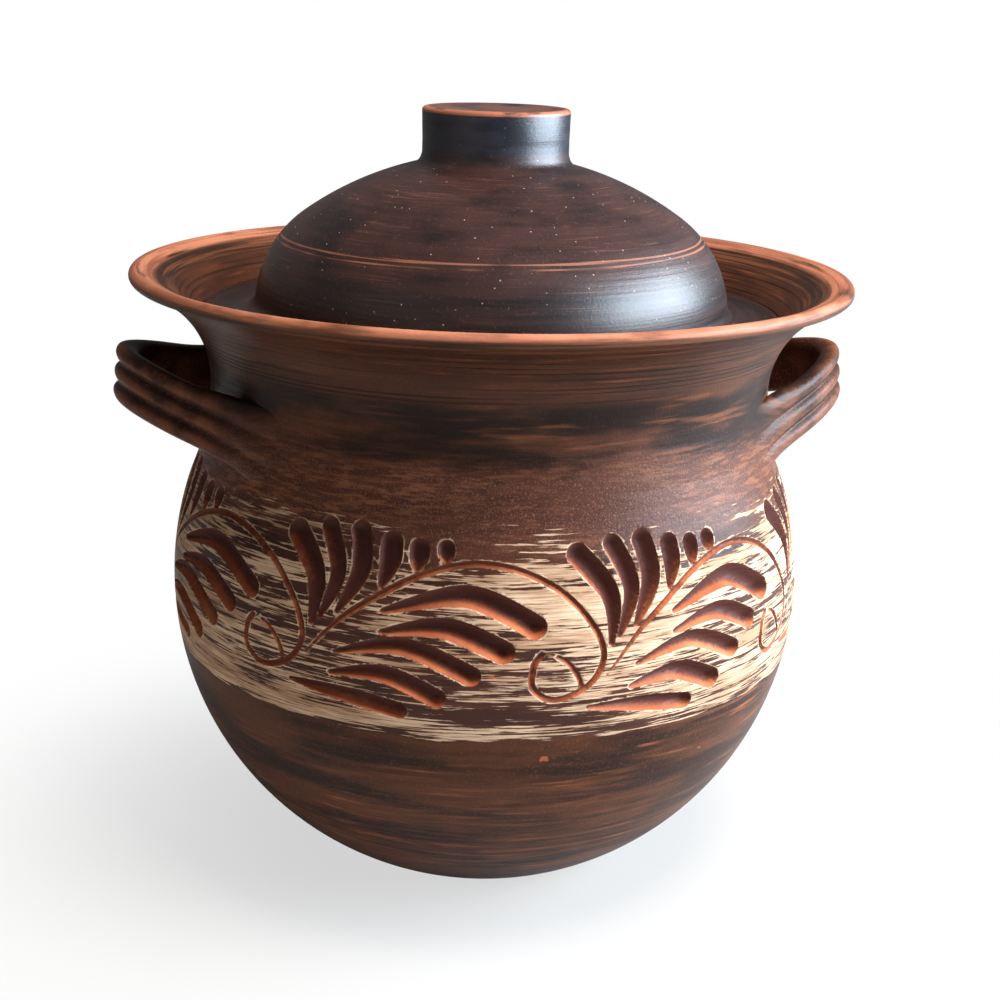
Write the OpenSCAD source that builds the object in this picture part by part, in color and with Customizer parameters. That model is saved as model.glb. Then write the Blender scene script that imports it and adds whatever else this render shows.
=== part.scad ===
// Clay roaster: a thrown round pot with a bell mouth, two ribbed strap
// handles and a band of carved leaf scrolls, and a loose domed lid.
// The origin is the middle of the foot, Z is up and the front faces -Y.

/* [Pot] */
// Radius of the round belly
belly_r = 108.5; // [95:0.5:120]
// Radius of the flat foot
foot_r = 44.8; // [38:0.2:52]
// How far the neck pulls in from the belly
neck_in = 13.9; // [11:0.1:16]
// Height from the belly's widest line to the neck's narrowest
neck_rise = 70.2; // [62:0.2:78]
// Radius of the outward curve under the bell mouth
flare_r = 34.4; // [31:0.2:38]
// How far the rim stands out from the neck
rim_out = 25.6; // [22:0.1:29]
// Thickness of the belly and neck wall
wall = 6.5; // [5.5:0.25:7.5]
// Thickness of the bell mouth and its round lip
rim_wall = 4.4; // [4:0.1:5.2]
// Thickness of the floor
floor_t = 9; // [7:0.5:12]

/* [Lid] */
// Height from the neck's narrowest line up to the ledge that carries the lid
seat_rise = 18; // [15.5:0.25:20.5]
// Gap between the edge of the lid and the mouth round it
lid_gap = 0.5; // [0.3:0.1:1]
// Thickness of the lid's flat brim
brim_t = 5; // [4:0.25:6]
// How far the foot of the dome lies inside the neck's outer line
dome_in = 15.1; // [12.5:0.1:18]
// Height of the dome above the brim
dome_h = 51.2; // [47:0.2:55]
// Radius of the dome's round shoulder
shoulder_r = 38; // [33:0.5:42]
// Thickness of the dome
lid_wall = 6.5; // [5:0.25:8]
// Radius of the hollow curve between dome and brim
dome_fillet = 4.5; // [3:0.25:6]
// Radius of the knob
knob_r = 24.5; // [20:0.5:27]
// Height of the knob above the top of the dome
knob_h = 15; // [11:0.5:20]
// Radius of the knob's softened top edge
knob_round = 1.4; // [0.6:0.1:2.5]

/* [Handles] */
// How far a handle's outer face stands out from the neck
handle_out = 32.2; // [28:0.1:37]
// Half the width of a handle's loop where its outer face meets the neck
loop_half_w = 51; // [46:0.5:55]
// Bend of a loop: 0.5 gives an even curve, 2 gives straight legs with a tight bend between them
loop_bend = 1; // [0.5:0.1:1.5]
// How far below the neck's narrowest line the left strap's middle line leaves the neck
handle_drop = 12.4; // [10:0.2:14]
// How much lower the right handle sits
right_sink = 2; // [0:0.25:3]
// Slope of a handle, upwards from the neck
handle_rise = 19; // [15:0.5:22]
// Height of the strap
strap_h = 20; // [18:0.5:22]
// Thickness of the strap
strap_t = 7.5; // [6.5:0.25:8.5]
// Depth of the two grooves along the strap
rib_groove = 1.7; // [1:0.1:2.2]

/* [Carving] */
// Length of one scroll as drawn; its heights and widths keep to it
scroll_l = 94.7; // [85:0.1:105]
// Azimuth of each scroll's curl from the front, spaced by eye
curl_at = [-49.5, 0.5, 47.5, 100.5, 152.5, 205.5, 258];
// Height of each scroll above the first design line, placed by eye
scroll_lift = [1, 0, -2, -2, -1, 0, 0.5];
// Depth of the leaf gouges
leaf_depth = 2.3; // [1:0.1:2.8]
// Width of the stem's groove
stem_w = 2.3; // [1.5:0.1:2.6]
// Depth of the stem's groove
stem_depth = 1.1; // [0.6:0.1:1.6]
// Radius of the curl that ends a scroll
curl_r = 7.4; // [7:0.1:7.7]

/* [Hidden] */
$fn = 180;
clay = [0.36, 0.21, 0.15];
dark_clay = [0.16, 0.13, 0.13];
// Distance by which a cutter starts outside the skin that it cuts
over = 0.6;
// Heights and radii of the body's lines
belly_z = sqrt(pow(belly_r, 2) - pow(foot_r, 2));
neck_r = belly_r - neck_in;
neck_z = belly_z + neck_rise;
rim_r = neck_r + rim_out;
// Bell mouth: centre of its curve, half its wall and the angle of its sweep
flare_x = neck_r + flare_r;
lip_r = rim_wall / 2;
sweep = acos((flare_x + lip_r - rim_r) / (flare_r + lip_r));
rim_z = neck_z + (flare_r + lip_r) * sin(sweep) + lip_r;
// Neck: the hollow curve that runs smoothly out of the round belly
neck_curve = (pow(neck_r, 2) + pow(neck_rise, 2) - pow(belly_r, 2)) / (2 * neck_in);
neck_x = neck_r + neck_curve;
join_a = atan2(neck_rise, neck_x);
// Lid: top of the brim, the flat curve of the crown and the top of the knob
seat_z = neck_z + seat_rise;
brim_z = seat_z + brim_t;
dome_r = neck_r - dome_in;
arch_x = dome_r - shoulder_r;
crown_r = (pow(arch_x, 2) + pow(dome_h, 2) - pow(shoulder_r, 2)) / (2 * (dome_h - shoulder_r));
crown_z = brim_z + dome_h - crown_r;
crown_a = atan2(arch_x, brim_z - crown_z);
top_z = brim_z + dome_h + knob_h;
// Handles: where the loop meets the neck, its depth, and how far past the neck's skin it runs on
root_x = sqrt(pow(neck_r, 2) - pow(loop_half_w, 2));
loop_depth = neck_r + handle_out - root_x;
handle_z = neck_z - handle_drop;
loop_end = 1.1;
// Carving: one scroll is drawn drawn_l long, as [x, height] from the curl before it,
// with heights from the belly's widest line
drawn_l = 94.7;
drawn = scroll_l / drawn_l;
// Leaves: tail, middle, tip and width
leaves = [
    // fan above the stem
    [[18.5, 13.1], [18.4, 28.9], [5.5, 43.8], 7.6],
    [[21, 15.2], [26.3, 30.6], [19.3, 46.3], 6.3],
    [[26.9, 18.1], [34, 32.7], [31.1, 47.4], 6.8],
    [[40.9, 27.9], [43.2, 36.3], [42.6, 45.2], 6.8],
    [[51.9, 33.8], [52.3, 38.5], [52.1, 43.6], 6.2],
    [[61, 37], [60.8, 40.3], [60.4, 43.6], 5.6],
    // rows under the stem's arch
    [[41, 20.6], [68.2, 27.2], [92.6, 15.9], 7.6],
    [[41, 14.4], [62.1, 17.4], [82.6, 9.1], 7],
    [[26.7, 6.3], [49.5, 10.9], [73.9, 1.3], 6.6],
    [[25, -0.5], [43.7, 1.7], [62.8, -5.9], 6.8],
    [[10.2, -5.7], [30.7, -6.8], [51.6, -10], 5.8]
];
// A leaf along its length: share of the length, share of the width
leaf_shape = [[0, 0.06], [0.3, 0.58], [0.62, 0.92], [0.86, 0.98], [1, 0.2]];
// Stem: from beside the last curl, over the arch and round into its own curl
stem = [
    [17, 4.1], [27.7, 15.9], [37.1, 23.1], [49, 30.6], [60.8, 35.2], [71.9, 36.8], [84.5, 34.7],
    [97.1, 28.1], [106.6, 17.4], [109.6, 7.7], [104.9, -0.5], [94.7, -4.5], [88, -0.5], [88, 6.5]
];
// Curl's inner turn: height of its middle, where it starts, how far it turns and in what steps
curl_z = 3;
curl_start = 116;
curl_turn = 156;
curl_step = 39;
// Parts of the stem's width and depth that the curl's line keeps
curl_thin = 0.8;

// Half outline of a round from the axis out to r, between two heights
module slab(r, z0, z1) {
    translate([0, z0]) square([r, z1 - z0]);
}

// Points along an arc, without its first one, no more than step degrees apart
function arc(centre, r, a0, a1, step) = let (n = ceil(abs(a1 - a0) / step))
    [for (i = [1:n]) let (a = a0 + (a1 - a0) * i / n) centre + r * [cos(a), sin(a)]];

// Outline of the pot's wall, in short straight lines so that every turned face is a cone
module pot_half() {
    belly = [0, belly_z];
    neck = [neck_x, neck_z];
    flare = [flare_x, neck_z];
    lip = flare + (flare_r + lip_r) * [-cos(sweep), sin(sweep)];
    hollow_r = belly_r - wall;
    mouth_r = flare_r + rim_wall;
    polygon(concat(
        [[0, 0], [foot_r, 0]],
        arc(belly, belly_r, -asin(belly_z / belly_r), join_a, 4),
        arc(neck, neck_curve, 180 + join_a, 180, 4),
        arc(flare, flare_r, 180, 180 - sweep, 6),
        arc(lip, lip_r, -sweep, 180 - sweep, 23),
        arc(flare, mouth_r, 180 - sweep, 180 - asin((seat_z - neck_z) / mouth_r), 6),
        // ledge for the lid, then down the inside
        [[neck_r - wall, seat_z], [neck_r - wall, neck_z]],
        arc(neck, neck_curve + wall, 180, 180 + join_a, 6),
        arc(belly, hollow_r, join_a, -asin((belly_z - floor_t) / hollow_r), 6),
        [[0, floor_t]]
    ));
}

// Solid skin through rings of points, closed by its first and last ring
module swept(rings) {
    n = len(rings[0]);
    last = len(rings) - 1;
    polyhedron(
        points = [for (ring = rings) each ring],
        faces = concat(
            [[for (i = [n - 1:-1:0]) i]],
            [for (k = [0:last - 1], i = [0:n - 1]) [k * n + i, k * n + (i + 1) % n, (k + 1) * n + i]],
            [for (k = [0:last - 1], i = [0:n - 1])
                [k * n + (i + 1) % n, (k + 1) * n + (i + 1) % n, (k + 1) * n + i]],
            [[for (i = [0:n - 1]) last * n + i]]
        )
    );
}

// Strap's section as [out, up] points: three ribs outside, flat inside
function strap_section(t, h, g) = let (rib = h / 3) [
    [-0.7 * g, -1.5 * rib], [0, -rib], [-g, -0.5 * rib], [0, 0], [-g, 0.5 * rib], [0, rib],
    [-0.7 * g, 1.5 * rib], [-t, 1.35 * rib], [-t, -1.35 * rib]
];

// Plan of the loop's outer face as [x, y], u from -1 at one root to 1 at the other
function loop_fall(u) = (norm([1, loop_bend * u]) - 1) / (norm([1, loop_bend]) - 1);
function loop_point(u) = [root_x + loop_depth * (1 - loop_fall(u)), loop_half_w * u];

// The strap grows thicker and taller where it runs into the neck
function root_swell(u) = pow(abs(u) / loop_end, 5);

function strap_ring(u) = let (
    q = loop_point(u),
    along = loop_point(u + 0.001) - loop_point(u - 0.001),
    out = [along[1], -along[0]] / norm(along),
    z = handle_z + (q[0] - root_x) * tan(handle_rise),
    k = root_swell(u)
) [for (s = strap_section(strap_t * (1 + 0.6 * k), strap_h * (1 + 0.3 * k), rib_groove * (1 - k)))
    [q[0] + s[0] * out[0], q[1] + s[0] * out[1], z + s[1]]];

// Strap from neck to neck, trimmed inside the neck's wall
module handle() {
    difference() {
        swept([for (u = [-loop_end:loop_end / 8:loop_end]) strap_ring(u)]);
        cylinder(r = neck_r - wall / 2, h = rim_z);
    }
}

// Point on the belly: azimuth from the front, height along the skin, distance out of it
function on_belly(azimuth, height, out) = let (tilt = height / belly_r * 180 / PI, r = belly_r + out)
    [r * cos(tilt) * sin(azimuth), -r * cos(tilt) * cos(azimuth), belly_z + r * sin(tilt)];

// A design point [x, height] of scroll k, laid out on the belly
function span(k) = curl_at[k] - (k == 0 ? curl_at[len(curl_at) - 1] - 360 : curl_at[k - 1]);
function laid(k, q, out) =
    on_belly(curl_at[k] + (q[0] / drawn_l - 1) * span(k), drawn * (q[1] + scroll_lift[k]), out);

// Line through three points, u from 0 to 1
function bow(p, u) = p[0] * (2 * u - 1) * (u - 1) - p[1] * 4 * u * (u - 1) + p[2] * u * (2 * u - 1);

// Smooth line through many points, u counting points
function curve(p, u) = let (
    i = min(floor(u), len(p) - 2), f = u - i,
    a = p[max(i - 1, 0)], b = p[i], c = p[i + 1], d = p[min(i + 2, len(p) - 1)]
) b + 0.5 * f * (c - a + f * (2 * a - 5 * b + 4 * c - d + f * (3 * (b - c) + d - a)));

// Ring of a gouge of width w and depth d at q, heading for ahead; its sides run on past the skin
function gouge_ring(k, q, ahead, w, d) = let (
    centre = laid(k, q, 0),
    out = laid(k, q, 1) - centre,
    way = cross(laid(k, q + 0.01 * ahead, 0) - centre, out),
    edge = w / 2 * (1 + over / d)
) [for (s = [[-edge, over], [0, -d], [edge, over]]) centre + s[0] * way / norm(way) + s[1] * out];

// Leaf through three points: a gouge with a pointed tail and a round head
module leaf(k, p, w) {
    swept([for (s = leaf_shape) let (ahead = bow(p, s[0] + 0.01) - bow(p, s[0] - 0.01))
        gouge_ring(k, bow(p, s[0]), ahead, drawn * w * s[1], leaf_depth * pow(s[1], 0.6))]);
}

// Incised line through many points, thin where it starts
module line(k, p, w, d) {
    last = len(p) - 1;
    swept([for (u = [0:0.5:last])
        let (thin = min(1, 0.4 + 0.5 * u))
        let (ahead = curve(p, min(u + 0.05, last)) - curve(p, max(u - 0.05, 0)))
        gouge_ring(k, curve(p, u), ahead, w * thin, d * thin)]);
}

module scroll(k) {
    for (f = leaves) leaf(k, [f[0], f[1], f[2]], f[3]);
    line(k, stem, stem_w, stem_depth);
    line(k, concat([[drawn_l, curl_z] + curl_r * [cos(curl_start), sin(curl_start)]],
        arc([drawn_l, curl_z], curl_r, curl_start, curl_start - curl_turn, curl_step)),
        curl_thin * stem_w, curl_thin * stem_depth);
}

module pot() {
    color(clay) difference() {
        union() {
            rotate_extrude() pot_half();
            translate([0, 0, -right_sink]) handle();
            mirror([1, 0, 0]) handle();
        }
        for (k = [0:len(curl_at) - 1]) scroll(k);
    }
}

// Half outline of the dome at a depth below its outer skin
module dome_half(depth) {
    intersection() {
        union() {
            intersection() {
                translate([0, crown_z]) circle(crown_r - depth);
                polygon([[0, crown_z], [2 * crown_r * sin(crown_a), crown_z + 2 * crown_r * cos(crown_a)],
                    [0, crown_z + 2 * crown_r]]);
            }
            translate([arch_x, brim_z]) circle(shoulder_r - depth);
        }
        slab(dome_r, brim_z, top_z);
    }
}

// Half outline of the knob with a softened top edge
module knob_half() {
    slab(knob_r, brim_z, top_z - knob_round);
    slab(knob_r - knob_round, brim_z, top_z);
    translate([knob_r - knob_round, top_z - knob_round]) circle(knob_round);
}

// Hollow curve between the dome's shoulder and the brim
module fillet_half() {
    x = arch_x + sqrt(pow(shoulder_r + dome_fillet, 2) - pow(dome_fillet, 2));
    difference() {
        polygon([[arch_x, brim_z - over], [x, brim_z - over], [x, brim_z + dome_fillet], [arch_x, brim_z]]);
        translate([x, brim_z + dome_fillet]) circle(dome_fillet);
    }
}

module lid_half() {
    difference() {
        union() {
            dome_half(0);
            fillet_half();
            knob_half();
            // brim, its edge parallel to the mouth round it
            difference() {
                slab(flare_x, seat_z, brim_z);
                translate([flare_x, neck_z]) circle(flare_r + rim_wall + lid_gap);
            }
        }
        dome_half(lid_wall);
        slab(dome_r - lid_wall, seat_z - over, brim_z + over);
    }
}

module lid() {
    color(dark_clay) rotate_extrude() lid_half();
}

pot();
lid();
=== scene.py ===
# %% [markdown]
# # A carved clay roaster
#
# This notebook dresses a thrown clay pot with a lid. The plain solids come
# from the CAD model and are the frame; each visible piece is modelled again
# here with the marks that a potter's hands and tools leave.

# %% Load the frame
import math

import bmesh
import bpy
import numpy as np
from mathutils import Matrix, Vector


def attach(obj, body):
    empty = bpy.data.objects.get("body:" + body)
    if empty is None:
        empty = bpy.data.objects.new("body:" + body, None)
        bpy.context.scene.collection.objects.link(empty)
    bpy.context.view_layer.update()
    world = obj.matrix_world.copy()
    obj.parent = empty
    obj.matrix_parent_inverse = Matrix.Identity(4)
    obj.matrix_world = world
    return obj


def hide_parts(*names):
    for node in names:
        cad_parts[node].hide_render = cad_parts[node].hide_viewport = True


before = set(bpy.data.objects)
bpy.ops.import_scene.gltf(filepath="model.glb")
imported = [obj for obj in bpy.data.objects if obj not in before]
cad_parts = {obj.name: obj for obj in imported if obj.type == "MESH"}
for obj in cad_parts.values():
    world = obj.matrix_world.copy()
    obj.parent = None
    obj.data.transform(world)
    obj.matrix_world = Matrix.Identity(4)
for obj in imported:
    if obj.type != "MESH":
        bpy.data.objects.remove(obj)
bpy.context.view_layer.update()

MM = 0.001

# %% [markdown]
# ## The camera
#
# The photograph looks down at the pot by about 17 degrees from half a metre
# away, a little to the left of the handles' middle. It could be placed by
# eye; here it is set from the distances that make rim, belly and knob land
# where the photograph has them. The picture is turned by 1.6 degrees,
# because the photograph is not quite level.

# %% Place the camera
CAMERA_DISTANCE = 557.6 * MM
CAMERA_HEIGHT = 292.56 * MM
CAMERA_SIDE = math.radians(11)
CAMERA_PITCH = math.radians(16.862)
CAMERA_YAW = math.radians(0.481)
CAMERA_ROLL = math.radians(1.6)

turn_back = Matrix.Rotation(-CAMERA_SIDE, 3, "Z")
level_right = Vector((math.cos(CAMERA_YAW), -math.sin(CAMERA_YAW), 0))
level_ahead = Vector((math.sin(CAMERA_YAW), math.cos(CAMERA_YAW), 0))
up = Vector((0, 0, 1))
ahead = math.cos(CAMERA_PITCH) * level_ahead - math.sin(CAMERA_PITCH) * up
above = math.sin(CAMERA_PITCH) * level_ahead + math.cos(CAMERA_PITCH) * up
right = math.cos(CAMERA_ROLL) * level_right + math.sin(CAMERA_ROLL) * above
top = -math.sin(CAMERA_ROLL) * level_right + math.cos(CAMERA_ROLL) * above

camera_data = bpy.data.cameras.new("camera")
camera_data.lens = 59.64
camera_data.sensor_width = 36
camera = bpy.data.objects.new("camera", camera_data)
bpy.context.scene.collection.objects.link(camera)
axes = Matrix((turn_back @ right, turn_back @ top, turn_back @ -ahead)).transposed()
place = turn_back @ Vector((0, -CAMERA_DISTANCE, CAMERA_HEIGHT))
camera.matrix_world = Matrix.Translation(place) @ axes.to_4x4()
bpy.context.scene.camera = camera
print("camera at", [round(c, 4) for c in place])

# %% [markdown]
# ## Sizes
#
# These are the same sizes as in the CAD model, in metres. The belly is part
# of a ball, the neck is a hollow curve that runs smoothly out of it, and the
# mouth opens like a bell and ends in a round lip.

# %% The pot's sizes
BELLY_R, BELLY_Z = 108.5 * MM, 98.8 * MM
NECK_R, NECK_Z = 94.6 * MM, 169 * MM
FLARE_R, RIM_R = 34.4 * MM, 120.15 * MM
WALL, RIM_WALL, FLOOR = 6.5 * MM, 4.4 * MM, 9 * MM
SEAT_Z = 187 * MM

RISE = NECK_Z - BELLY_Z
NECK_CURVE = (NECK_R**2 + RISE**2 - BELLY_R**2) / (2 * (BELLY_R - NECK_R))
NECK_X = NECK_R + NECK_CURVE
JOIN = math.atan2(RISE, NECK_X)
FLARE_X = NECK_R + FLARE_R
LIP_R = RIM_WALL / 2
SWEEP = math.acos((FLARE_X + LIP_R - RIM_R) / (FLARE_R + LIP_R))
MOUTH_R = FLARE_R + RIM_WALL
print("lip ends at", round(math.degrees(SWEEP), 1), "degrees")


# %% A helper for outlines
def arc(centre, radius, start, end, count):
    """Points along an arc in the (r, z) plane, without its first one."""
    points = []
    for i in range(1, count + 1):
        angle = start + (end - start) * i / count
        points.append((centre[0] + radius * math.cos(angle), centre[1] + radius * math.sin(angle)))
    return points


print("an eighth of a turn:", [round(v, 3) for v in arc((0, 0), 1, 0, math.pi / 4, 1)[0]])

# %% [markdown]
# ## Outlines of the pot
#
# A pot from the wheel is one outline turned round an axis, so `spin` makes
# it. The carved band needs a far finer net than the plain walls. It is a
# ring of its own, let flush into a shallow recess of the pot, so that every
# other part stays light.

# %% Draw the outlines of the pot and of its carved band
HALF = math.pi
BAND_LOW, BAND_HIGH = -16 * MM, 51 * MM
BAND_DEEP = 5 * MM
JOIN_V = BELLY_R * JOIN
inner_r = BELLY_R - WALL


def on_skin(v, depth=0.0):
    """Point of the outline, at a depth below the skin; v runs along it from the belly's widest line."""
    if v <= JOIN_V:
        angle = v / BELLY_R
        radius = BELLY_R - depth
        return (radius * math.cos(angle), BELLY_Z + radius * math.sin(angle))
    angle = HALF + JOIN - (v - JOIN_V) / NECK_CURVE
    radius = NECK_CURVE + depth
    return (NECK_X + radius * math.cos(angle), NECK_Z + radius * math.sin(angle))


foot_a = -math.asin(BELLY_Z / BELLY_R)
floor_a = -math.asin((BELLY_Z - FLOOR) / inner_r)
lip_centre = (FLARE_X - (FLARE_R + LIP_R) * math.cos(SWEEP), NECK_Z + (FLARE_R + LIP_R) * math.sin(SWEEP))
seat_a = HALF - math.asin((SEAT_Z - NECK_Z) / MOUTH_R)
neck_top_v = JOIN_V + NECK_CURVE * JOIN

outline = [(0, 0), (BELLY_R * math.cos(foot_a) - 1.2 * MM, 0)]
outline += arc((0, BELLY_Z), BELLY_R, foot_a, foot_a + 0.02, 1)
outline += arc((0, BELLY_Z), BELLY_R, foot_a + 0.02, BAND_LOW / BELLY_R, 30)
outline += [on_skin(BAND_LOW, BAND_DEEP)]
outline += [on_skin(BAND_LOW + (BAND_HIGH - BAND_LOW) * i / 8, BAND_DEEP) for i in range(1, 9)]
outline += [on_skin(BAND_HIGH)]
outline += [on_skin(BAND_HIGH + (neck_top_v - BAND_HIGH) * i / 10) for i in range(1, 11)]
outline += arc((FLARE_X, NECK_Z), FLARE_R, HALF, HALF - SWEEP, 24)
outline += arc(lip_centre, LIP_R, -SWEEP, HALF - SWEEP, 12)
outline += arc((FLARE_X, NECK_Z), MOUTH_R, HALF - SWEEP, seat_a, 18)
outline += [(NECK_R - WALL, SEAT_Z), (NECK_R - WALL, NECK_Z)]
outline += arc((NECK_X, NECK_Z), NECK_CURVE + WALL, HALF, HALF + JOIN, 5)
outline += arc((0, BELLY_Z), inner_r, JOIN, floor_a, 20)
outline += [(0, FLOOR)]

BAND_ROWS = 96
band_line = [on_skin(BAND_LOW + (BAND_HIGH - BAND_LOW) * i / BAND_ROWS) for i in range(BAND_ROWS + 1)]
band_line += [on_skin(BAND_HIGH - (BAND_HIGH - BAND_LOW) * i / 4, BAND_DEEP - 0.2 * MM) for i in range(5)]
print(len(outline), "points in the outline,", len(band_line), "round the band")


# %% [markdown]
# ## Turning an outline
#
# On the wheel the clay turns past the potter's fingers. Here `bmesh.ops.spin`
# turns the edges of an outline round the axis. A screw modifier could do it
# too, but its faces aren't in the mesh yet when the carving is pushed in. A
# full turn merges its last copy with the first, and `remove_doubles` closes
# the poles.

# %% Turn an outline round the axis
def turned(name, line, steps, closed=False):
    """New object: the outline turned round the Z axis."""
    bm = bmesh.new()
    verts = [bm.verts.new((0, -r, z)) for r, z in line]
    for a, b in zip(verts, verts[1:]):
        bm.edges.new((a, b))
    if closed:
        bm.edges.new((verts[-1], verts[0]))
    bmesh.ops.spin(
        bm, geom=verts + bm.edges[:], cent=(0, 0, 0), axis=(0, 0, 1),
        angle=2 * math.pi, steps=steps, use_merge=True,
    )
    bmesh.ops.remove_doubles(bm, verts=bm.verts, dist=1e-6)
    bmesh.ops.recalc_face_normals(bm, faces=bm.faces)
    return finished(name, bm)


def finished(name, bm, sharp=35):
    """Turns a bmesh into an object at the origin with smooth faces and sharp corners."""
    mesh = bpy.data.meshes.new(name)
    bm.to_mesh(mesh)
    bm.free()
    mesh.shade_smooth()
    mesh.set_sharp_from_angle(angle=math.radians(sharp))
    obj = bpy.data.objects.new(name, mesh)
    bpy.context.scene.collection.objects.link(obj)
    return obj


pot_wall = turned("pot_wall", outline, 256)
carved_band = turned("carved_band", band_line, 960, closed=True)
print("pot wall", len(pot_wall.data.polygons), "faces, band", len(carved_band.data.polygons))

# %% [markdown]
# ## The carving
#
# Leaf scrolls run round the belly. Each scroll has an incised stem that
# rises over an arch and ends in a curl, rows of round gouge cuts under the
# arch, and a fan of cuts above it. They could be cut with booleans, but a
# gouge leaves a soft round valley with a clear rim. So each stroke is a line
# on the skin with a width and a depth, and the points of the band that it
# covers are pushed in. Points close to a stroke's rim first slide onto it,
# which keeps the rim clean.

# %% One scroll as drawn
CURLS = [-49.5, 0.5, 47.5, 100.5, 152.5, 205.5, 258]
LIFTS = [1, 0, -2, -2, -1, 0, 0.5]
SCROLL = 94.7
LEAVES = [
    ((18.5, 13.1), (18.4, 28.9), (5.5, 43.8), 7.6),
    ((21, 15.2), (26.3, 30.6), (19.3, 46.3), 6.3),
    ((26.9, 18.1), (34, 32.7), (31.1, 47.4), 6.8),
    ((40.9, 27.9), (43.2, 36.3), (42.6, 45.2), 6.8),
    ((51.9, 33.8), (52.3, 38.5), (52.1, 43.6), 6.2),
    ((61, 37), (60.8, 40.3), (60.4, 43.6), 5.6),
    ((41, 20.6), (68.2, 27.2), (92.6, 15.9), 7.6),
    ((41, 14.4), (62.1, 17.4), (82.6, 9.1), 7.0),
    ((26.7, 6.3), (49.5, 10.9), (73.9, 1.3), 6.6),
    ((25, -0.5), (43.7, 1.7), (62.8, -5.9), 6.8),
    ((10.2, -5.7), (30.7, -6.8), (51.6, -10), 5.8),
]
STEM = [
    (17, 4.1), (27.7, 15.9), (37.1, 23.1), (49, 30.6), (60.8, 35.2), (71.9, 36.8), (84.5, 34.7),
    (97.1, 28.1), (106.6, 17.4), (109.6, 7.7), (104.9, -0.5), (94.7, -4.5), (88, -0.5), (88, 6.5),
    (90.3, 9.9),
]
CURL = [(91.1, 10.4), (95.8, 8.9), (99.7, 5.6), (102.1, 1.6), (102.6, -0.9)]


def on_belly(k, x, v):
    """Point on the skin for a design point of scroll k, in metres."""
    before = CURLS[k - 1] - (360 if k == 0 else 0)
    azimuth = math.radians(CURLS[k] + (x / SCROLL - 1) * (CURLS[k] - before))
    r, z = on_skin((v + LIFTS[k]) * MM)
    return (r * math.sin(azimuth), -r * math.cos(azimuth), z)


def smooth_path(points, per_span):
    """Catmull-Rom line through the points."""
    out = []
    last = len(points) - 1
    for i in range(last):
        a, b, c, d = (np.array(points[min(max(j, 0), last)], float) for j in (i - 1, i, i + 1, i + 2))
        for n in range(per_span):
            f = n / per_span
            out.append(b + 0.5 * f * (c - a + f * (2 * a - 5 * b + 4 * c - d + f * (3 * (b - c) + d - a))))
    out.append(np.array(points[-1], float))
    return out


# %% List the strokes
strokes = []
for k in range(len(CURLS)):
    for number, (tail, middle, tip, width) in enumerate(LEAVES):
        spine = smooth_path([tail, middle, tip], 12)
        runs = np.cumsum([0] + [np.linalg.norm(b - a) for a, b in zip(spine, spine[1:])])
        own = width * (1 + 0.05 * math.sin(2.3 * k + 1.7 * number))
        head = runs[-1] - 0.5 * own
        keep = [(q, s / head) for q, s in zip(spine, runs) if s < head]
        share = [min(1.0, 1.02 * math.sin(min(1.0, 0.12 + 1.05 * s) * HALF / 2) ** 0.9) for _, s in keep]
        share[0] = 0.06
        strokes.append({
            "points": np.array([on_belly(k, *q) for q, _ in keep]),
            "half": np.array([0.5 * own * MM * t for t in share]),
            "deep": np.array([0.47 * own * MM * t**0.8 for t in share]),
            "power": 2.0, "leaf": 1.0,
        })
    for path, wide, deep in ((STEM, 2.2, 1.1), (CURL, 1.9, 0.9)):
        line = smooth_path(path, 5)
        ramp = np.minimum(1.0, 0.35 + np.arange(len(line)) / 12)
        strokes.append({
            "points": np.array([on_belly(k, *q) for q in line]),
            "half": 0.5 * wide * MM * ramp, "deep": deep * MM * ramp, "power": 1.6, "leaf": 0.0,
        })
print(len(strokes), "strokes")

# %% [markdown]
# ## Pushing the strokes in
#
# For every point of the band the nearest place on each stroke is found. The
# signed distance to the rim of that stroke is also stored on the mesh, so
# that the colour can follow the carving: bare orange clay inside, and a pale
# scraped edge outside.

# %% Carve the band
def nearest(points, stroke):
    """For each point: distance to the stroke's middle line, half width and depth there, and the way."""
    a, b = stroke["points"][:-1], stroke["points"][1:]
    span = b - a
    lengths = np.maximum(np.sum(span**2, axis=1), 1e-12)
    along = np.clip(np.einsum("pij,ij->pi", points[:, None, :] - a[None], span) / lengths, 0, 1)
    away = points[:, None, :] - (a[None] + along[..., None] * span[None])
    far = np.linalg.norm(away, axis=2)
    half = stroke["half"][:-1] + along * np.diff(stroke["half"])
    deep = stroke["deep"][:-1] + along * np.diff(stroke["deep"])
    best = np.argmin(far - half, axis=1)
    row = np.arange(len(points))
    return far[row, best], half[row, best], deep[row, best], away[row, best]


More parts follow.
